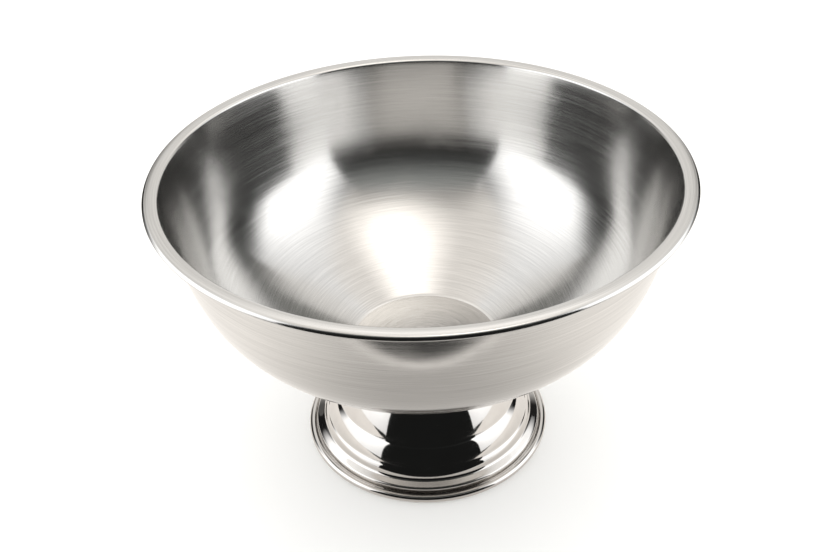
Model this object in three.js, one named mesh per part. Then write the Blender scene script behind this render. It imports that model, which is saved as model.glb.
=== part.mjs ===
// Footed punch bowl in stainless steel: a spun satin bowl screwed to a spun, polished foot.
// Millimetres, +Z up. The origin is on the surface that the foot stands on, under the middle.
import * as THREE from "three";

// ---------- driving dimensions ----------
const RIM_RADIUS = 190; // outermost edge of the rim
const HEIGHT = 237.5; // from the table to the crest of the rim
const BOWL_SHEET = 1.0; // thickness of the bowl's sheet
const FOOT_SHEET = 0.9; // thickness of the foot's sheet
const GAP = 0.3; // left between pieces that touch

// bowl
const RIM_INNER_RADIUS = 179.4; // inside of the wall, where the rim's rounding starts
const RIM_FLARE = THREE.MathUtils.degToRad(11.5); // lean of the wall there, out from upright
const LIP_RADIUS = 2.6; // rounding from the wall to the flange
const SHOULDER_RADIUS = 161.1; // inside of the wall where its side turns in to the belly
const SHOULDER_HEIGHT = 163.4;
const SHOULDER_FLARE = THREE.MathUtils.degToRad(24.8); // lean of the wall there
const FLANGE_DOME = 0.4; // how far the flange rises from its inner side to its crest
const EDGE_RADIUS = 2.1; // the turned-under edge, outside
const FLOOR_RADIUS = 57; // the flat disc in the bottom
const FLOOR_HEIGHT = 81; // top of that flat disc
const FLOOR_RISE = THREE.MathUtils.degToRad(25.5); // slope of the belly where it leaves the disc
const BELLY_PULL = { floor: 44.5, shoulder: 40 }; // how long the belly keeps its slope at each end
const SIDE_PULL = { shoulder: 25, rim: 22.5 }; // the same for the side above it

// foot
const BASE_RADIUS = 97.7; // outermost point of the bead
const BEAD_RADIUS = 2.95; // half the height of the bead
const CURL_RADIUS = 1.5; // the sheet's edge, curled in under the bead
const CURL_INSET = 1.9; // width of the flat that the foot stands on
const PLATE_ROUNDING = 4; // from the top plate to the neck
const NECK_RADIUS = 48; // narrowest part, under the bowl
const HOLE_RADIUS = 4.6; // in the foot's top plate, for the stud

// joint
const GASKET_THICKNESS = 1.8;
const GASKET_RADIUS = 45;
const STUD_RADIUS = 4; // M8
const STUD_LENGTH = 24;
const STUD_DISC_RADIUS = 13;
const STUD_DISC_THICKNESS = 1.5;
const STUD_CHAMFER = 0.8;
const SPREADER_RADIUS = 20;
const SPREADER_THICKNESS = 2;
const SPRING_OUTER_RADIUS = 7.4;
const SPRING_INNER_RADIUS = 4.35;
const SPRING_THICKNESS = 2;
const SPRING_SPLIT = THREE.MathUtils.degToRad(12); // opening of the spring washer
const NUT_WIDTH = 13; // across flats
const NUT_HEIGHT = 6.5;
const NUT_CHAMFER = 0.7;

// facets round the axis
const BOWL_FACETS = 60;
const FOOT_FACETS = 40;
const SMALL_FACETS = 24;

// ---------- materials ----------
const steel = (color, roughness) => new THREE.MeshStandardMaterial({ color, roughness, metalness: 1 });
const satinSteel = steel(0xd4d3d1, 0.3);
const polishedSteel = steel(0xd6d5d3, 0.08);
const zincSteel = steel(0xb9bcbf, 0.3);
const rubber = new THREE.MeshStandardMaterial({ color: 0x26262a, roughness: 0.8, metalness: 0 });

// ---------- helpers ----------
const point = (radius, height) => new THREE.Vector2(radius, height);

// Joins stretches of points and drops the doubled point where two stretches meet.
function joined(...stretches) {
  const points = [];
  for (const next of stretches.flat()) {
    const last = points.at(-1);
    if (!last || last.distanceTo(next) > 1e-4) points.push(next);
  }
  return points;
}

// Points on an arc, from one angle in degrees to another.
function arc(centre, radius, from, to, steps) {
  const turn = (degrees) => THREE.MathUtils.degToRad(degrees);
  const clockwise = to < from;
  const curve = new THREE.EllipseCurve(
    centre.x, centre.y, radius, radius, turn(from), turn(to), clockwise);
  return curve.getPoints(steps);
}

// The point a distance along a direction from another; a negative distance is behind it.
const ahead = (from, way, distance) => from.clone().addScaledVector(way, distance);

// Points on a smooth bend between two ends, shaped by two handles.
function bend(start, handleA, handleB, end, steps) {
  return new THREE.CubicBezierCurve(start, handleA, handleB, end).getPoints(steps);
}

// The closed outline of a sheet that has the given face and lies to the right of its direction.
function sheet(face, thickness) {
  const back = face.map((here, i) => {
    const before = face[Math.max(i - 1, 0)];
    const after = face[Math.min(i + 1, face.length - 1)];
    const inward = before === here ? null : here.clone().sub(before).normalize();
    const outward = after === here ? null : after.clone().sub(here).normalize();
    const first = inward ?? outward;
    const second = outward ?? inward;
    const mean = first.clone().add(second).normalize();
    const reach = thickness / mean.dot(first);
    return point(here.x + mean.y * reach, here.y - mean.x * reach);
  });
  return [...face, ...back.reverse(), face[0]];
}

// A rectangle between two radii and two heights, closed on itself.
function ringSection(inner, outer, bottom, top) {
  return [
    point(inner, bottom), point(outer, bottom), point(outer, top), point(inner, top),
    point(inner, bottom),
  ];
}

// Turns an outline of (radius, height) points about +Z.
// Lathe geometry turns about Y, so the result is stood up; its faces must point out.
function turned(outline, facets) {
  const area = outline.reduce((sum, p, i) => {
    const q = outline[(i + 1) % outline.length];
    return sum + p.x * q.y - q.x * p.y;
  }, 0);
  const anticlockwise = area > 0 ? outline : [...outline].reverse();
  return new THREE.LatheGeometry(anticlockwise, facets).rotateX(Math.PI / 2);
}

function piece(name, geometry, material) {
  const mesh = new THREE.Mesh(geometry, material.clone());
  mesh.name = name;
  return mesh;
}

// ---------- heights of the joint, from the bowl's floor down ----------
const floorUnderside = FLOOR_HEIGHT - BOWL_SHEET;
const gasketTop = floorUnderside - GAP;
const footTop = gasketTop - GASKET_THICKNESS - GAP;
const spreaderTop = footTop - FOOT_SHEET - GAP;
const springTop = spreaderTop - SPREADER_THICKNESS - GAP;
const nutTop = springTop - SPRING_THICKNESS - GAP;

// ---------- bowl ----------
// Inside face: flat floor, belly, side, rounded lip, domed flange, turned-under edge.
function bowlShell() {
  const lipCentre = point(
    RIM_INNER_RADIUS + LIP_RADIUS * Math.cos(RIM_FLARE), HEIGHT - FLANGE_DOME - LIP_RADIUS);
  const edgeCentre = point(RIM_RADIUS - EDGE_RADIUS, HEIGHT - FLANGE_DOME / 2 - EDGE_RADIUS);
  const floorEdge = point(FLOOR_RADIUS, FLOOR_HEIGHT);
  const shoulder = point(SHOULDER_RADIUS, SHOULDER_HEIGHT);
  const lip = arc(lipCentre, LIP_RADIUS, 180 - THREE.MathUtils.radToDeg(RIM_FLARE), 90, 3);
  const rimInner = lip[0];
  const floorWay = point(Math.cos(FLOOR_RISE), Math.sin(FLOOR_RISE));
  const shoulderWay = point(Math.sin(SHOULDER_FLARE), Math.cos(SHOULDER_FLARE));
  const rimWay = point(Math.sin(RIM_FLARE), Math.cos(RIM_FLARE));
  const belly = bend(floorEdge, ahead(floorEdge, floorWay, BELLY_PULL.floor),
    ahead(shoulder, shoulderWay, -BELLY_PULL.shoulder), shoulder, 7);
  const side = bend(shoulder, ahead(shoulder, shoulderWay, SIDE_PULL.shoulder),
    ahead(rimInner, rimWay, -SIDE_PULL.rim), rimInner, 5);
  const crest = point((lipCentre.x + edgeCentre.x) / 2, HEIGHT);
  const edge = arc(edgeCentre, EDGE_RADIUS, 90, -100, 6);
  const centre = point(0, FLOOR_HEIGHT);
  const face = joined([centre], belly, side, lip, [crest], edge);
  // The outline runs from the axis along the inside and back along the outside to the axis.
  const closed = sheet(face, BOWL_SHEET);
  closed.pop();
  return new THREE.LatheGeometry(closed.reverse(), BOWL_FACETS).rotateX(Math.PI / 2);
}

// ---------- foot ----------
// Outside face, from the hole in the top plate down to the bead that curls in on itself.
function footShell() {
  const beadCentre = point(BASE_RADIUS - BEAD_RADIUS, BEAD_RADIUS);
  const neckEnd = point(56.7, 60.2); // where the neck flares into the upper step
  const upperStep = point(70.6, 36.3); // foot of the upper step
  const lowerTop = point(72, 33.4); // where the lower step begins
  const lowerStep = point(80, 20.2); // foot of the lower step
  const ledgeTop = point(81.2, 18); // where the small step over the brim begins
  const ledgeFoot = point(83.9, 12.8);
  const brimInner = point(85.6, 10.9);
  const brimOuter = point(90, 9.2);
  const grooveSide = point(91.1, 3.7); // inner side of the deep groove at the bead
  const plateEdge = NECK_RADIUS - PLATE_ROUNDING;
  const plateTurn = footTop - PLATE_ROUNDING;
  const topPlate = [point(HOLE_RADIUS, footTop), point(plateEdge, footTop)];
  const shoulder = arc(point(plateEdge, plateTurn), PLATE_ROUNDING, 90, 0, 3);
  const neck = bend(
    point(NECK_RADIUS, plateTurn), point(NECK_RADIUS, 68), point(50.9, 64.5), neckEnd, 4);
  const upper = bend(neckEnd, point(61.5, 57), point(67, 45.2), upperStep, 5);
  const crease = bend(upperStep, point(71.2, 34.8), point(71.6, 33.75), lowerTop, 2);
  const lower = bend(lowerTop, point(75.3, 30.5), point(77.8, 25.4), lowerStep, 4);
  const lowerCrease = bend(lowerStep, point(80.5, 19), point(80.8, 18.4), ledgeTop, 2);
  const ledge = bend(ledgeTop, point(82.3, 16.9), point(83.1, 14.9), ledgeFoot, 3);
  const cove = bend(ledgeFoot, point(84.3, 11.8), point(84.8, 11.2), brimInner, 2);
  const drop = bend(brimOuter, point(91.1, 8.8), point(91.2, 7.4), point(91.1, 6), 3);
  const bead = arc(beadCentre, BEAD_RADIUS, 172, -90, 9);
  const groove = bend(grooveSide, point(91.1, 2.9), point(91.7, 2.8), bead[0], 3);
  const curl = arc(point(beadCentre.x - CURL_INSET, CURL_RADIUS), CURL_RADIUS, 270, 190, 3);
  const face = joined(topPlate, shoulder, neck, upper, crease, lower, lowerCrease, ledge, cove,
    drop, groove, bead, curl);
  return turned(sheet(face, FOOT_SHEET), FOOT_FACETS);
}

// ---------- joint ----------
function mountingStud() {
  const bottom = gasketTop - STUD_LENGTH;
  const underDisc = gasketTop - STUD_DISC_THICKNESS;
  return turned([
    point(0, bottom), point(STUD_RADIUS - STUD_CHAMFER, bottom),
    point(STUD_RADIUS, bottom + STUD_CHAMFER), point(STUD_RADIUS, underDisc),
    point(STUD_DISC_RADIUS, underDisc), point(STUD_DISC_RADIUS, gasketTop), point(0, gasketTop),
  ], SMALL_FACETS);
}

function jointGasket() {
  const inner = STUD_DISC_RADIUS + 1;
  const section = ringSection(inner, GASKET_RADIUS, gasketTop - GASKET_THICKNESS, gasketTop);
  return turned(section, SMALL_FACETS);
}

function spreaderWasher() {
  const section = ringSection(
    HOLE_RADIUS, SPREADER_RADIUS, spreaderTop - SPREADER_THICKNESS, spreaderTop);
  return turned(section, SMALL_FACETS);
}

// A flat ring with a narrow split, extruded upwards.
function springWasher() {
  const start = SPRING_SPLIT / 2;
  const end = Math.PI * 2 - start;
  const outline = new THREE.Shape();
  outline.absarc(0, 0, SPRING_OUTER_RADIUS, start, end, false);
  outline.absarc(0, 0, SPRING_INNER_RADIUS, end, start, true);
  outline.closePath();
  const ring = new THREE.ExtrudeGeometry(outline, {
    depth: SPRING_THICKNESS, bevelEnabled: false, curveSegments: SMALL_FACETS,
  });
  return ring.translate(0, 0, springTop - SPRING_THICKNESS);
}

// A hexagon with a round hole, chamfered on both faces.
function hexNut() {
  const cornerRadius = NUT_WIDTH / Math.sqrt(3) - NUT_CHAMFER;
  const outline = new THREE.Shape();
  for (let corner = 0; corner < 6; corner += 1) {
    const angle = (corner * Math.PI) / 3;
    const x = cornerRadius * Math.cos(angle);
    const y = cornerRadius * Math.sin(angle);
    if (corner === 0) outline.moveTo(x, y);
    else outline.lineTo(x, y);
  }
  outline.closePath();
  const hole = new THREE.Path();
  hole.absarc(0, 0, STUD_RADIUS + GAP + NUT_CHAMFER, 0, Math.PI * 2, true);
  outline.holes.push(hole);
  const nut = new THREE.ExtrudeGeometry(outline, {
    depth: NUT_HEIGHT - 2 * NUT_CHAMFER, bevelSize: NUT_CHAMFER, bevelThickness: NUT_CHAMFER,
    bevelSegments: 1, curveSegments: SMALL_FACETS / 2,
  });
  return nut.translate(0, 0, nutTop - NUT_HEIGHT + NUT_CHAMFER);
}

// ---------- the whole object ----------
const punchBowl = new THREE.Group();
punchBowl.add(
  piece("bowl_shell", bowlShell(), satinSteel),
  piece("foot_shell", footShell(), polishedSteel),
  piece("mounting_stud", mountingStud(), zincSteel),
  piece("joint_gasket", jointGasket(), rubber),
  piece("spreader_washer", spreaderWasher(), zincSteel),
  piece("spring_washer", springWasher(), zincSteel),
  piece("hex_nut", hexNut(), zincSteel),
);

export default punchBowl;
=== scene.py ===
"""Looks of a footed punch bowl: a satin spun bowl on a polished, stepped, hollow foot.

Metres and +Z up, with the origin on the table under the bowl's middle.
"""
import math

import bpy
import numpy as np
from mathutils import Euler, Matrix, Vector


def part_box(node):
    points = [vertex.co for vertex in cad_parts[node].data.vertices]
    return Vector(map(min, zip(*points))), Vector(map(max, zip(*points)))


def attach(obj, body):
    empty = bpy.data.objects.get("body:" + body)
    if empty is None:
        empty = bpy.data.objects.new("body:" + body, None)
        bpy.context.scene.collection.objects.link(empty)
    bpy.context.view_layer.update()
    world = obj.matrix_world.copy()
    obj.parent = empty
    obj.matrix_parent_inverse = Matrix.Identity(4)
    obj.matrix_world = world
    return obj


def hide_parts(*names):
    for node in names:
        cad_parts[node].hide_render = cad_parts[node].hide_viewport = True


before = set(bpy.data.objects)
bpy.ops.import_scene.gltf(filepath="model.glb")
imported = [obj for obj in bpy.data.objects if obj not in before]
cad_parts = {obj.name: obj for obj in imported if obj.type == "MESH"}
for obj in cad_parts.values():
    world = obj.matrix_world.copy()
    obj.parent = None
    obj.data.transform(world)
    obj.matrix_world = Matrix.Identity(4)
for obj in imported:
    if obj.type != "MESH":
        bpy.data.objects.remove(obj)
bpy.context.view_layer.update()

MM = 0.001
BODY = "root"


# ---------- sizes, in millimetres ----------
def heights(node):
    """The lowest and the highest point of a CAD node."""
    low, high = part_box(node)
    return low[2] / MM, high[2] / MM


RIM_RADIUS = 190
HEIGHT = 237.5
BOWL_SHEET = 1.0
RIM_INNER_RADIUS = 179.4  # inside of the wall, where the rim's rounding starts
RIM_FLARE = math.radians(11.5)  # lean of the wall there, out from upright
LIP_RADIUS = 2.6
SHOULDER = (161.1, 163.4)  # where the side turns in to the belly
SHOULDER_FLARE = math.radians(24.8)
FLANGE_DOME = 0.4
EDGE_RADIUS = 2.1  # the turned-under edge
FLOOR_RADIUS = 57
FLOOR_HEIGHT = 81
FLOOR_RISE = math.radians(25.5)  # slope of the belly where it leaves the flat disc
BELLY_PULL = (44.5, 40)  # how long the belly keeps its slope at the disc and at the shoulder
SIDE_PULL = (25, 22.5)  # the same for the side, at the shoulder and at the rim
WAVE_HEIGHT = 0.2  # how far the spun wall is from round
WAVES_START = 130  # height where the waves begin, over the belly
WAVES_FADE_IN = 60
WAVES_END = 3  # how far under the rim's crest they have faded out
WAVES_FADE_OUT = 12

FOOT_SHEET = 0.9
BASE_RADIUS = 97.7
BEAD_RADIUS = 2.95
CURL_RADIUS = 1.5
CURL_INSET = 1.9
NECK_RADIUS = 48
PLATE_ROUNDING = 4
HOLE_RADIUS = 4.6
FOOT_TOP = heights("foot_shell")[1]

GASKET_RADIUS = 45
STUD_RADIUS = 4  # M8
STUD_DISC_RADIUS = 13
STUD_DISC_THICKNESS = 1.5
THREAD_PITCH = 1.25
THREAD_DEPTH = 0.6
SPREADER_RADIUS = 20
SPRING_RADII = (4.35, 7.4)
SPRING_SPLIT = math.radians(12)
NUT_WIDTH = 13  # across flats
NUT_BORE = 4.3


# ---------- outlines: arrays of (radius, height) ----------
def arc(centre, radius, start, end, steps):
    """Points at even angles, in degrees, on a circle round the centre."""
    angle = np.radians(np.linspace(start, end, steps + 1))
    return np.column_stack([centre[0] + radius * np.cos(angle), centre[1] + radius * np.sin(angle)])


def bend(start, handle_a, handle_b, end, steps):
    """A cubic curve: each end and handle weighted by its Bernstein polynomial in t."""
    t = np.linspace(0, 1, steps + 1)[:, None]
    weights = [(1 - t) ** 3, 3 * t * (1 - t) ** 2, 3 * t**2 * (1 - t), t**3]
    return sum(w * np.array(p, float) for w, p in zip(weights, (start, handle_a, handle_b, end)))


def ahead(start, angle, distance):
    """The point a distance from another along a slope; a negative distance is behind it."""
    return (start[0] + distance * math.cos(angle), start[1] + distance * math.sin(angle))


def straight(start, end, steps=1):
    """Even points from one end to the other."""
    return np.linspace(start, end, steps + 1)


def joined(*stretches):
    """The stretches end to end, without the doubled point where two meet."""
    points = np.vstack(stretches)
    step = np.linalg.norm(np.diff(points, axis=0), axis=1)
    return points[np.concatenate([[True], step > 1e-4])]


def offset(face, thickness):
    """Each point moved to the right of the line's direction by the thickness, mitred at bends."""
    step = np.diff(face, axis=0)
    way = step / np.linalg.norm(step, axis=1)[:, None]
    before, after = np.vstack([way[:1], way]), np.vstack([way, way[-1:]])
    mean = before + after
    mean /= np.linalg.norm(mean, axis=1)[:, None]
    reach = thickness / (mean * before).sum(axis=1)
    return face + np.column_stack([mean[:, 1], -mean[:, 0]]) * reach[:, None]


def sheet(face, thickness):
    """The whole outline of a sheet: out along its face and home along its back."""
    return np.vstack([face, offset(face, thickness)[::-1]])


def bowl_face():
    """The bowl's upper side, from its middle to the turned-under edge.

    A flat floor, a belly and a side on two cubic curves that share their slope, then a rounded
    lip, a domed flange and an edge turned under on a small arc.
    """
    upright = math.pi / 2
    lip_centre = (
        RIM_INNER_RADIUS + LIP_RADIUS * math.cos(RIM_FLARE), HEIGHT - FLANGE_DOME - LIP_RADIUS)
    edge_centre = (RIM_RADIUS - EDGE_RADIUS, HEIGHT - FLANGE_DOME / 2 - EDGE_RADIUS)
    lip = arc(lip_centre, LIP_RADIUS, 180 - math.degrees(RIM_FLARE), 90, 10)
    floor_edge, rim_inner = (FLOOR_RADIUS, FLOOR_HEIGHT), tuple(lip[0])
    shoulder_way, rim_way = upright - SHOULDER_FLARE, upright - RIM_FLARE
    belly = bend(
        floor_edge, ahead(floor_edge, FLOOR_RISE, BELLY_PULL[0]),
        ahead(SHOULDER, shoulder_way, -BELLY_PULL[1]), SHOULDER, 50)
    side = bend(
        SHOULDER, ahead(SHOULDER, shoulder_way, SIDE_PULL[0]),
        ahead(rim_inner, rim_way, -SIDE_PULL[1]), rim_inner, 28)
    middle = (lip_centre[0] + edge_centre[0]) / 2
    flange = bend(
        lip[-1], (middle - 1, HEIGHT - 0.05), (middle + 1, HEIGHT + 0.12),
        (edge_centre[0], HEIGHT - FLANGE_DOME / 2), 10)
    edge = arc(edge_centre, EDGE_RADIUS, 88, -100, 16)
    flat = straight((0, FLOOR_HEIGHT), (FLOOR_RADIUS - 0.5, FLOOR_HEIGHT), 12)
    return joined(flat, belly, side, lip, flange, edge)


def foot_face():
    """The foot's outer side, from the hole in its top plate to the bead that curls in on itself.

    Cubic curves for the neck, the steps, the creases between them, the cove, the brim's edge and
    the deep groove, and arcs for the bead and its curl.
    """
    bead_centre = (BASE_RADIUS - BEAD_RADIUS, BEAD_RADIUS)
    neck_end, upper_step, lower_top = (56.7, 60.2), (70.6, 36.3), (72, 33.4)
    lower_step, ledge_top, ledge_foot = (80, 20.2), (81.2, 18), (83.9, 12.8)
    brim_inner, brim_outer, groove_side = (85.6, 10.9), (90, 9.2), (91.1, 3.7)
    plate_edge, plate_turn = NECK_RADIUS - PLATE_ROUNDING, FOOT_TOP - PLATE_ROUNDING
    bead = arc(bead_centre, BEAD_RADIUS, 172, -90, 30)
    return joined(
        straight((HOLE_RADIUS, FOOT_TOP), (plate_edge, FOOT_TOP), 8),
        arc((plate_edge, plate_turn), PLATE_ROUNDING, 90, 0, 10),
        bend((NECK_RADIUS, plate_turn), (NECK_RADIUS, 68), (50.9, 64.5), neck_end, 16),
        bend(neck_end, (61.5, 57), (67, 45.2), upper_step, 24),
        bend(upper_step, (71.2, 34.8), (71.6, 33.75), lower_top, 8),
        bend(lower_top, (75.3, 30.5), (77.8, 25.4), lower_step, 18),
        bend(lower_step, (80.5, 19), (80.8, 18.4), ledge_top, 6),
        bend(ledge_top, (82.3, 16.9), (83.1, 14.9), ledge_foot, 12),
        bend(ledge_foot, (84.3, 11.8), (84.8, 11.2), brim_inner, 8),
        straight(brim_inner, brim_outer, 4),
        bend(brim_outer, (91.1, 8.8), (91.2, 7.4), (91.1, 6), 10),
        bend(groove_side, (91.1, 2.9), (91.7, 2.8), bead[0], 8),
        bead,
        arc((bead_centre[0] - CURL_INSET, CURL_RADIUS), CURL_RADIUS, 270, 190, 8),
    )


def rounded_ring(inner, outer, bottom, top, rounding):
    """A ring's section, with its four corners rounded by quarter circles."""
    corners = [
        ((inner + rounding, top - rounding), 180, 90), ((outer - rounding, top - rounding), 90, 0),
        ((outer - rounding, bottom + rounding), 0, -90),
        ((inner + rounding, bottom + rounding), 270, 180),
    ]
    return np.vstack([arc(centre, rounding, start, end, 5) for centre, start, end in corners])


# ---------- meshes ----------
def mesh_object(name, points, faces, coordinates=None, sharp=40):
    """A smooth-shaded object from points in metres, faces, and (along, round) for each corner."""
    mesh = bpy.data.meshes.new(name)
    mesh.from_pydata(points.tolist(), [], faces)
    if coordinates is not None:
        layer = mesh.uv_layers.new(name="sheet")
        layer.data.foreach_set("uv", np.asarray(coordinates, np.float32).ravel())
    mesh.polygons.foreach_set("use_smooth", np.ones(len(mesh.polygons), bool))
    mesh.set_sharp_from_angle(angle=math.radians(sharp))
    made = bpy.data.objects.new(name, mesh)
    bpy.context.scene.collection.objects.link(made)
    return made


def grid_faces(rows, facets):
    """The quads of a grid whose columns close on themselves, and each corner's row and column."""
    i, j = np.meshgrid(np.arange(rows - 1), np.arange(facets), indexing="ij")
    corner_row = np.stack([i, i + 1, i + 1, i], axis=-1).reshape(-1, 4)
    corner_column = np.stack([j, j, j + 1, j + 1], axis=-1).reshape(-1, 4)
    return corner_row, corner_column


def revolved(name, outline, facets, sharp=40, shaped=None):
    """A closed outline of (radius, height) in millimetres, turned about +Z.

    Point (i, j) is (r_i cos a_j, r_i sin a_j, z_i) with a_j = 2 pi j / facets; shaped, where it
    is given, is a function of radius, angle and height that gives a new radius. The rows on the
    axis become one pole each, and an outline clear of the axis closes on its first row. The
    outline runs clockwise, seen with the radius to the right, so that the faces point out. The
    texture coordinates are the length along the outline in metres, and the turn from 0 to 1.
    """
    outline = np.asarray(outline, float)
    on_axis = outline[:, 0] < 1e-6
    ring = not on_axis.any()
    if ring:
        outline = np.vstack([outline, outline[:1]])
    step = np.linalg.norm(np.diff(outline, axis=0), axis=1)
    along = np.concatenate([[0], np.cumsum(step)]) * MM
    angle = np.arange(facets) * 2 * np.pi / facets
    radius = np.repeat(outline[:, :1], facets, axis=1)
    height = np.repeat(outline[:, 1:], facets, axis=1)
    if shaped:
        radius = np.where(radius > 1e-6, shaped(radius, angle[None, :], height), 0)
    points = np.stack([radius * np.cos(angle), radius * np.sin(angle), height], axis=-1) * MM
    row, column = grid_faces(len(outline), facets)
    source = row % (len(outline) - 1) if ring else row
    index = source * facets + column % facets
    pole_rows = np.flatnonzero(on_axis) if not ring else np.array([], int)
    for pole in pole_rows:
        index[row == pole] = pole * facets
    used, index = np.unique(index, return_inverse=True)
    index = index.reshape(-1, 4)
    where = np.stack([along[row], column / facets], axis=-1)
    first_pole, last_pole = row[:, 0], row[:, 1]
    keep = np.ones(index.shape, bool)
    keep[np.isin(first_pole, pole_rows), 3] = False
    keep[np.isin(last_pole, pole_rows), 2] = False
    faces = [list(map(int, corner[kept])) for corner, kept in zip(index, keep)]
    return mesh_object(name, points.reshape(-1, 3)[used], faces, where[keep], sharp)


def split_ring(name, section, split, steps):
    """A closed section carried round +Z but for a split, with a flat cap at each end.

    The split is centred on +X. Point (i, j) is (r_i cos a_j, r_i sin a_j, z_i), with a_j in even
    steps from half the split to a turn less half of it.
    """
    angle = np.linspace(split / 2, 2 * np.pi - split / 2, steps + 1)
    radius, height = np.repeat(section[:, :1], steps + 1, 1), np.repeat(section[:, 1:], steps + 1, 1)
    points = np.stack([radius * np.cos(angle), radius * np.sin(angle), height], axis=-1) * MM
    rows, columns = len(section), steps + 1
    row, column = grid_faces(rows + 1, steps)
    index = (row % rows) * columns + column
    ends = np.arange(rows) * columns
    faces = index.tolist() + [ends[::-1].tolist(), (ends + steps).tolist()]
    return mesh_object(name, points.reshape(-1, 3), faces)


def place(piece, replaced, material):
    """Rides the piece on the one body, in the stead of its CAD node."""
    piece.data.materials.append(material)
    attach(piece, BODY)
    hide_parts(replaced)


# ---------- materials ----------
def linear(hex_colour):
    """sRGB hex to linear RGBA."""
    parts = [int(hex_colour[i : i + 2], 16) / 255 for i in (0, 2, 4)]
    return (*[p / 12.92 if p <= 0.04045 else ((p + 0.055) / 1.055) ** 2.4 for p in parts], 1)


def add(tree, kind, inputs=None, **settings):
    """Adds a node; an input is a plain value, an output, or a node, which gives its first one."""
    made = tree.nodes.new("ShaderNode" + kind)
    for name, value in settings.items():
        setattr(made, name, value)
    for socket, value in (inputs or {}).items():
        if isinstance(value, bpy.types.Node):
            value = value.outputs[0]
        if isinstance(value, bpy.types.NodeSocket):
            tree.links.new(value, made.inputs[socket])
        else:
            made.inputs[socket].default_value = value
    return made


def new_material(name):
    """An empty material: its tree and its output node."""
    material = bpy.data.materials.new(name)
    material.use_nodes = True
    material.node_tree.nodes.clear()
    return material, material.node_tree, add(material.node_tree, "OutputMaterial")


def streaks(tree, across_mm, turns, detail=3.0):
    """Noise drawn out round the axis: fine along the outline, long round it.

    The direction from the axis, scaled, gives the slow change round the piece, and the length
    along the outline over the streak's width gives the fast one.
    """
    place_in = add(tree, "TexCoord")
    flat = add(
        tree, "VectorMath", {0: place_in.outputs["Object"], 1: (1, 1, 0)}, operation="MULTIPLY")
    outward = add(tree, "VectorMath", {0: flat}, operation="NORMALIZE")
    round_it = add(tree, "VectorMath", {0: outward, "Scale": turns}, operation="SCALE")
    along = add(tree, "SeparateXYZ", {0: add(tree, "UVMap", uv_map="sheet")})
    fine = add(tree, "Math", {0: along, 1: 1 / (across_mm * MM)}, operation="MULTIPLY")
    lift = add(tree, "CombineXYZ", {2: fine})
    vector = add(tree, "VectorMath", {0: round_it, 1: lift}, operation="ADD")
    return add(
        tree, "TexNoise", {"Vector": vector, "Scale": 1.0, "Detail": detail, "Roughness": 0.6})


def blotches(tree, size_mm, detail=2.0):
    """Soft, even noise whose patches are about the given size."""
    place_in = add(tree, "TexCoord")
    return add(tree, "TexNoise", {
        "Vector": place_in.outputs["Object"], "Scale": 1 / (size_mm * MM), "Detail": detail})


def satin_steel(inside_length):
    """18/8 stainless steel, brushed with abrasive while it turns in the lathe.

    The hair lines lie round the axis, so reflections are drawn out across them, from rim to
    floor, and stay crisp round the bowl. Real lines are some 0.05 mm wide; here they are drawn
    0.7 mm wide, so that they show. The inside, up to the given length along the outline, has the
    coarser grit. Handling leaves faint smudges some 25 mm across.
    """
    material, tree, output = new_material("satin_brushed_stainless_steel")
    lines = streaks(tree, across_mm=0.7, turns=2.0)
    bands = streaks(tree, across_mm=6, turns=1.0)
    smudges = blotches(tree, size_mm=25)
    line = add(tree, "MapRange", {0: lines, "From Min": 0.3, "From Max": 0.7})
    along = add(tree, "SeparateXYZ", {0: add(tree, "UVMap", uv_map="sheet")})
    grit = add(tree, "MapRange", {
        0: along, "From Min": inside_length - MM, "From Max": inside_length + MM,
        "To Min": 0.13, "To Max": 0.075})
    lined = add(tree, "Math", {0: line, 1: 0.05, 2: grit}, operation="MULTIPLY_ADD")
    band = add(tree, "MapRange", {0: bands, "From Min": 0.3, "From Max": 0.7, "To Max": 0.02})
    banded = add(tree, "Math", {0: lined, 1: band}, operation="ADD")
    smudge = add(tree, "MapRange", {0: smudges, "From Min": 0.55, "From Max": 0.75, "To Max": 0.03})
    roughness = add(tree, "Math", {0: banded, 1: smudge}, operation="ADD")
    bump = add(tree, "Bump", {"Height": lines, "Strength": 0.1, "Distance": 0.02 * MM})
    across = add(tree, "Tangent", direction_type="UV_MAP", uv_map="sheet")
    colour = add(
        tree, "Mix", {0: line, 6: linear("CAC9C7"), 7: linear("DDDCDA")}, data_type="RGBA")
    shader = add(tree, "BsdfPrincipled", {
        "Base Color": colour.outputs[2], "Metallic": 1.0, "Roughness": roughness,
        "Anisotropic": 0.75, "Normal": bump, "Tangent": across})
    tree.links.new(shader.outputs[0], output.inputs[0])
    return material


def polished_steel():
    """The same steel, buffed to a mirror: sharp reflections, a faint haze and buffing lines."""
    material, tree, output = new_material("mirror_polished_stainless_steel")
    lines = streaks(tree, across_mm=0.6, turns=2.0)
    haze = add(tree, "MapRange", {
        0: blotches(tree, size_mm=12), "From Min": 0.3, "From Max": 0.7})
    buffed = add(tree, "MapRange", {
        0: lines, "From Min": 0.3, "From Max": 0.7, "To Min": 0.035, "To Max": 0.055})
    roughness = add(tree, "Math", {0: haze, 1: 0.02, 2: buffed}, operation="MULTIPLY_ADD")
    colour = add(
        tree, "Mix", {0: haze, 6: linear("D4D1CE"), 7: linear("D8D6D3")}, data_type="RGBA")
    shader = add(tree, "BsdfPrincipled", {
        "Base Color": colour.outputs[2], "Metallic": 1.0, "Roughness": roughness})
    tree.links.new(shader.outputs[0], output.inputs[0])
    return material


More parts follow.
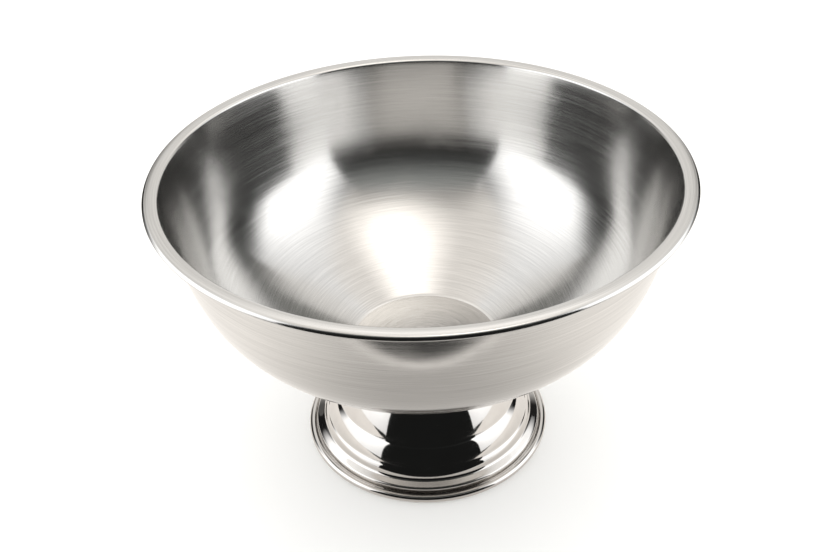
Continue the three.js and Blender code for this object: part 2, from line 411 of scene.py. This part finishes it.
def plain_finish(name, colours, roughness, grain_mm, metallic):
    """A fine, even grain in colour, roughness and height."""
    material, tree, output = new_material(name)
    grain = blotches(tree, grain_mm, detail=3.0)
    share = add(tree, "MapRange", {0: grain, "From Min": 0.3, "From Max": 0.7})
    rough = add(tree, "MapRange", {0: share, "To Min": roughness[0], "To Max": roughness[1]})
    bump = add(tree, "Bump", {"Height": grain, "Strength": 0.15, "Distance": 0.03 * MM})
    first, second = (linear(colour) for colour in colours)
    colour = add(tree, "Mix", {0: share, 6: first, 7: second}, data_type="RGBA")
    shader = add(tree, "BsdfPrincipled", {
        "Base Color": colour.outputs[2], "Metallic": metallic, "Roughness": rough,
        "Normal": bump})
    tree.links.new(shader.outputs[0], output.inputs[0])
    return material


def zinc_plate():
    """Bright zinc plating on pressed steel: even and bluish, with a grain under 1 mm."""
    return plain_finish("bright_zinc_plated_steel", ("A9ADB0", "BFC3C6"), (0.28, 0.4), 0.8, 1.0)


def rubber():
    """Cut nitrile rubber: near-black and matt, with a fine grain."""
    return plain_finish("black_nitrile_rubber", ("1F1F22", "2A2A2E"), (0.6, 0.8), 0.5, 0.0)


# ---------- pieces ----------
def spun_waves(radius, angle, height):
    """The radius with the slow waves of a spun wall, which is never quite round.

    Three sines with 5, 9 and 14 waves to the turn, drifting with the height, are added up and
    multiplied by the wave height and by a share that fades in up the belly and out at the rim.
    """
    fade_in = np.clip((height - WAVES_START) / WAVES_FADE_IN, 0, 1)
    fade_out = np.clip((HEIGHT - WAVES_END - height) / WAVES_FADE_OUT, 0, 1)
    waves = (
        0.5 * np.sin(5 * angle + 0.02 * height + 0.7) + 0.3 * np.sin(9 * angle - 0.05 * height)
        + 0.2 * np.sin(14 * angle + 0.08 * height + 2))
    return radius + WAVE_HEIGHT * (fade_in * fade_out) * waves


def build_bowl():
    """The bowl's sheet, closed at its middle."""
    face = bowl_face()
    outline = sheet(face, BOWL_SHEET)
    outline[-1][0] = 0
    bowl = revolved("spun_bowl", outline, 288, shaped=spun_waves)
    inside_length = np.linalg.norm(np.diff(face, axis=0), axis=1).sum() * MM
    place(bowl, "bowl_shell", satin_steel(inside_length))


def build_foot():
    """The foot's sheet, open at the stud's hole."""
    foot = revolved("spun_foot", sheet(foot_face(), FOOT_SHEET), 240)
    place(foot, "foot_shell", polished_steel())


def thread(angle, height):
    """Depth of a right-hand 60 degree thread, from 0 at its crest to its full depth."""
    turn = (height / THREAD_PITCH - angle / (2 * np.pi)) % 1
    return THREAD_DEPTH * np.clip(np.abs(2 * turn - 1) * 1.3 - 0.15, 0, 1)


def build_stud(material):
    """A stud with a rolled thread and a disc to weld it by."""
    bottom, top = heights("mounting_stud")
    under_disc = top - STUD_DISC_THICKNESS
    run_out = under_disc - 3
    chamfer, round_over = 0.8, 0.4
    disc = rounded_ring(0, STUD_DISC_RADIUS, under_disc, top, round_over)
    outer_disc = disc[6:18]
    outline = joined(
        [[0, top]], outer_disc, [[STUD_RADIUS, under_disc]],
        straight((STUD_RADIUS, run_out), (STUD_RADIUS, bottom + chamfer), 150),
        [[STUD_RADIUS - chamfer, bottom], [0, bottom]])

    def shaped(radius, angle, height):
        share = np.clip((run_out - height) / THREAD_PITCH, 0, 1)
        on_shank = (radius <= STUD_RADIUS) & (radius > STUD_RADIUS - chamfer / 2)
        return np.where(on_shank, radius - share * thread(angle, height), radius)

    stud = revolved("threaded_stud", outline, 64, shaped=shaped)
    place(stud, "mounting_stud", material)


def build_ring(name, node, inner, outer, rounding, material):
    """A washer or gasket with rounded corners."""
    ring = revolved(name, rounded_ring(inner, outer, *heights(node), rounding), 96)
    place(ring, node, material)


def build_spring_washer(material):
    """A split spring washer, pressed flat under the nut."""
    section = rounded_ring(*SPRING_RADII, *heights("spring_washer"), 0.3)
    washer = split_ring("split_spring_washer", section, SPRING_SPLIT, 80)
    place(washer, "spring_washer", material)


def build_nut(material):
    """A hexagon nut, threaded inside, its corners cut by a 30 degree cone at both ends.

    Outside, the radius is the smaller of the hexagon's, half the width over cos of the angle
    from the middle of a flat, and the cone's, which grows with the distance from the end.
    """
    bottom, top = heights("hex_nut")
    corner = NUT_WIDTH / math.sqrt(3)
    outline = np.vstack([
        straight((NUT_BORE, bottom), (NUT_BORE, top), 60)[:-1],
        straight((NUT_BORE, top), (corner, top), 4)[:-1],
        straight((corner, top), (corner, bottom), 24)[:-1],
        straight((corner, bottom), (NUT_BORE, bottom), 4)[:-1],
    ])

    def shaped(radius, angle, height):
        sixth = np.pi / 3
        hexagon = NUT_WIDTH / 2 / np.cos((angle % sixth) - sixth / 2)
        from_end = np.minimum(height - bottom, top - height)
        cone = 0.475 * NUT_WIDTH + from_end * math.sqrt(3)
        outside = np.minimum(hexagon, cone)
        share = (radius - NUT_BORE) / (corner - NUT_BORE)
        ends = np.clip(from_end / 0.5, 0, 1)
        bore = NUT_BORE + np.where(share < 0.01, ends * (THREAD_DEPTH - thread(angle, height)), 0)
        return bore + share * (outside - NUT_BORE)

    nut = revolved("threaded_nut", outline, 96, sharp=25, shaped=shaped)
    place(nut, "hex_nut", material)


build_bowl()
build_foot()
zinc = zinc_plate()
build_stud(zinc)
build_ring(
    "gasket_ring", "joint_gasket", STUD_DISC_RADIUS + 1, GASKET_RADIUS, 0.4,
    rubber())
build_ring(
    "wide_washer", "spreader_washer", HOLE_RADIUS, SPREADER_RADIUS, 0.3, zinc)
build_spring_washer(zinc)
build_nut(zinc)


# ---------- stage ----------
# The bowl stands in a tent of white cloth, lit through its sides and its roof and open in front
# to a dark room. Only reflections see the tent.
TENT_LEFT = -0.585
TENT_RIGHT = 0.65
TENT_FRONT = -0.476
TENT_BACK = 0.6
TENT_ROOF = 1.2
TABLE_FRONT = -0.286
WALL_FRONT = -0.6  # the side walls reach past the opening
PAINTED_STRIP_WIDTH = 0.014  # width of a painted bright strip, glowing along the table's front edge
DARKEST = 0.012  # brightness of the unlit room


def glow(tree, even, spots):
    """Brightness: an even part, and round soft spots, each a change that fades to its radius."""
    place_in = add(tree, "TexCoord")
    total = even
    for centre, inner, outer, change in spots:
        away = add(
            tree, "VectorMath", {0: place_in.outputs["Object"], 1: centre}, operation="DISTANCE")
        spot = add(
            tree, "MapRange",
            {0: away.outputs["Value"], "From Min": inner, "From Max": outer, "To Min": change,
             "To Max": 0}, interpolation_type="SMOOTHSTEP")
        total = add(tree, "Math", {0: spot, 1: total}, operation="ADD")
    return add(tree, "Math", {0: total, 1: DARKEST}, operation="MAXIMUM")


def card(name, corner, edge_a, edge_b, colour, even, spots=()):
    """A glowing flat card that shows only in reflections."""
    corner, edge_a, edge_b = (np.array(v, float) for v in (corner, edge_a, edge_b))
    points = np.array([corner, corner + edge_a, corner + edge_a + edge_b, corner + edge_b])
    made = mesh_object(name, points, [[0, 1, 2, 3]])
    material, tree, output = new_material(name + "_cloth")
    shader = add(
        tree, "Emission", {"Color": linear(colour), "Strength": glow(tree, even, spots)})
    tree.links.new(shader.outputs[0], output.inputs[0])
    made.data.materials.append(material)
    made.visible_camera = made.visible_diffuse = made.visible_shadow = False


def build_tent():
    """The cloth, with its unlit low back corners, and the dark room in front."""
    depth, width = TENT_BACK - TENT_FRONT, TENT_RIGHT - TENT_LEFT
    opening_left, opening_right = TENT_LEFT + 0.08, TENT_RIGHT - 0.05
    white, cream, warm, dark = "FFFFFF", "FFFCF8", "FFFAF4", "FAFFFC"
    for name, side in (("left", TENT_LEFT), ("right", TENT_RIGHT)):
        lamp_outside = ((side, -0.05, 0.5), 0.25, 0.75, 0.8)
        dim_front_top = ((side, TENT_FRONT, TENT_ROOF), 0.1, 0.6, -0.6)
        unlit_back_corner = ((side, 0.5, 0.2), 0.28, 0.46, -1.5)
        card(
            name + "_wall", (side, WALL_FRONT, 0), (0, TENT_BACK - WALL_FRONT, 0),
            (0, 0, TENT_ROOF), white, 1.05, [lamp_outside, dim_front_top, unlit_back_corner])
    lamp_above = ((0.15, -0.06, TENT_ROOF), 0, 0.47, 1.55)
    dim_front = ((0.05, -1.45, TENT_ROOF), 1.05, 1.43, -0.65)
    card(
        "roof", (TENT_LEFT, TENT_FRONT, TENT_ROOF), (width, 0, 0), (0, depth, 0),
        warm, 1.05, [lamp_above, dim_front])
    light_from_above = ((0.03, TENT_BACK, 1.15), 0.15, 0.65, 0.6)
    left_corner = ((TENT_LEFT, TENT_BACK, 0.4), 0.1, 0.33, -0.8)
    right_corner = ((TENT_RIGHT, TENT_BACK, 0.45), 0.1, 0.33, -0.9)
    card(
        "back_wall", (TENT_LEFT, TENT_BACK, 0), (width, 0, 0), (0, 0, TENT_ROOF),
        cream, 0.92, [light_from_above, left_corner, right_corner])
    spill_at_top = ((0.05, TENT_FRONT, 1.9), 0.7, 1.5, 0.4)
    card(
        "front_opening", (opening_left, TENT_FRONT, 0),
        (opening_right - opening_left, 0, 0), (0, 0, TENT_ROOF), dark, DARKEST, [spill_at_top])
    lift = 0.1 * MM
    # The table as reflections see it: a glowing card stands in for the lit floor, as a painted
    # reflection. The bowl's shadow is painted on it as a dark spot.
    shade_of_bowl = ((0, -0.2, 0), 0.03, 0.33, -0.58)
    card(
        "painted_tent_floor", (TENT_LEFT, TABLE_FRONT, lift), (width, 0, 0),
        (0, TENT_BACK - TABLE_FRONT, 0), warm, 1.14, [shade_of_bowl])
    # A painted bright strip along the table's front edge, glowing a little brighter than the table
    # card.
    card(
        "painted_bright_strip", (TENT_LEFT, TABLE_FRONT, 2 * lift), (width, 0, 0), (0, PAINTED_STRIP_WIDTH, 0),
        warm, 1.2)
    card(
        "table_edge", (TENT_LEFT, TENT_FRONT, lift), (width, 0, 0),
        (0, TABLE_FRONT - TENT_FRONT, 0), dark, 0.02)


def build_floor():
    """A wide, flat sheet of matt white laminate."""
    side = 6
    corners = np.array([(-1, -1, 0), (1, -1, 0), (1, 1, 0), (-1, 1, 0)], float) * side
    floor = mesh_object("floor", corners, [[0, 1, 2, 3]])
    material, tree, output = new_material("white_floor")
    shader = add(tree, "BsdfPrincipled", {"Base Color": linear("F5F5F4"), "Roughness": 0.8})
    tree.links.new(shader.outputs[0], output.inputs[0])
    floor.data.materials.append(material)


def build_world():
    """An even white room."""
    world = bpy.data.worlds.new("white_room")
    world.use_nodes = True
    background = world.node_tree.nodes["Background"]
    background.inputs["Color"].default_value = linear("FCFCFB")
    background.inputs["Strength"].default_value = 1.5
    bpy.context.scene.world = world


def build_camera():
    """Close, above the rim, looking down into the bowl, with the slight roll of a held camera."""
    data = bpy.data.cameras.new("camera")
    data.sensor_width = 36
    data.lens = 43.1
    data.clip_start, data.clip_end = 0.01, 50
    camera = bpy.data.objects.new("camera", data)
    tilt, pan, roll = 0.622, -0.011, -0.040
    turn = Euler((math.pi / 2 - tilt, 0, -pan)).to_matrix().to_4x4() @ Matrix.Rotation(roll, 4, "Z")
    camera.matrix_world = Matrix.Translation((0, -0.6053, 0.5761)) @ turn
    bpy.context.scene.collection.objects.link(camera)
    bpy.context.scene.camera = camera


build_floor()
build_world()
build_tent()
build_camera()
bpy.context.scene.view_settings.view_transform = "Standard"
